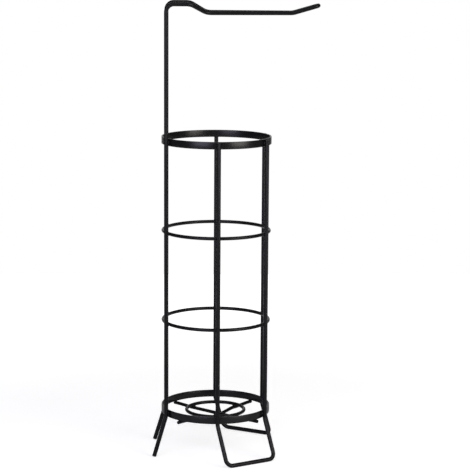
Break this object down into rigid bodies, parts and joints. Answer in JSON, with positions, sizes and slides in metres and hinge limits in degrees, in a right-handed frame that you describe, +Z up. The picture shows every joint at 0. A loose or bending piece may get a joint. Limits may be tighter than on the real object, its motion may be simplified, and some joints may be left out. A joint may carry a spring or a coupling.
{
  "type": "toilet paper holder",
  "caption": "Free-standing welded wire stand: a narrow bent arm holds the roll in use above a round tower for spare rolls, on closed wire loops and cut wire feet.",
  "frame": {"origin": "on the floor, in the middle of the part's bounding box; the tower's axis stands at x = -26.0 mm, y = 0", "axes": "+Z up, +X the way the roll arm points, +Y to the far side of the mirror plane XZ"},
  "size_m": [0.2286, 0.2036, 0.625],
  "materials": {
    "coated_wire": "satin black powder coat on steel wire",
    "coated_band": "satin black powder coat on flat steel strip",
    "coated_weld": "satin black powder coat over small weld beads"
  },
  "bodies": {
    "root": {"base_ring": "coated_wire", "base_wire_over": "coated_wire", "base_wire_under": "coated_wire", "bottom_band": "coated_band", "front_leg_frame": "coated_wire", "lower_hoop": "coated_wire", "mast_and_arm": "coated_wire", "rear_leg_frame": "coated_wire", "top_band": "coated_band", "upper_hoop": "coated_wire", "weld_base_crossing": "coated_weld", "weld_base_ring_front_left": "coated_weld", "weld_base_ring_front_right": "coated_weld", "weld_base_ring_rear_left": "coated_weld", "weld_base_ring_rear_right": "coated_weld", "weld_bottom_band_front_inner": "coated_weld", "weld_bottom_band_front_left": "coated_weld", "weld_bottom_band_front_outer": "coated_weld", "weld_bottom_band_front_right": "coated_weld", "weld_bottom_band_mast_front": "coated_weld", "weld_bottom_band_mast_rear": "coated_weld", "weld_bottom_band_rear_inner": "coated_weld", "weld_bottom_band_rear_left": "coated_weld", "weld_bottom_band_rear_outer": "coated_weld", "weld_bottom_band_rear_right": "coated_weld", "weld_lower_hoop_front_inner": "coated_weld", "weld_lower_hoop_front_outer": "coated_weld", "weld_lower_hoop_mast_front": "coated_weld", "weld_lower_hoop_mast_rear": "coated_weld", "weld_lower_hoop_rear_inner": "coated_weld", "weld_lower_hoop_rear_outer": "coated_weld", "weld_top_band_front_inner": "coated_weld", "weld_top_band_front_outer": "coated_weld", "weld_top_band_mast_front": "coated_weld", "weld_top_band_mast_rear": "coated_weld", "weld_top_band_rear_inner": "coated_weld", "weld_top_band_rear_outer": "coated_weld", "weld_upper_hoop_front_inner": "coated_weld", "weld_upper_hoop_front_outer": "coated_weld", "weld_upper_hoop_mast_front": "coated_weld", "weld_upper_hoop_mast_rear": "coated_weld", "weld_upper_hoop_rear_inner": "coated_weld", "weld_upper_hoop_rear_outer": "coated_weld"}
  },
  "joints": []
}
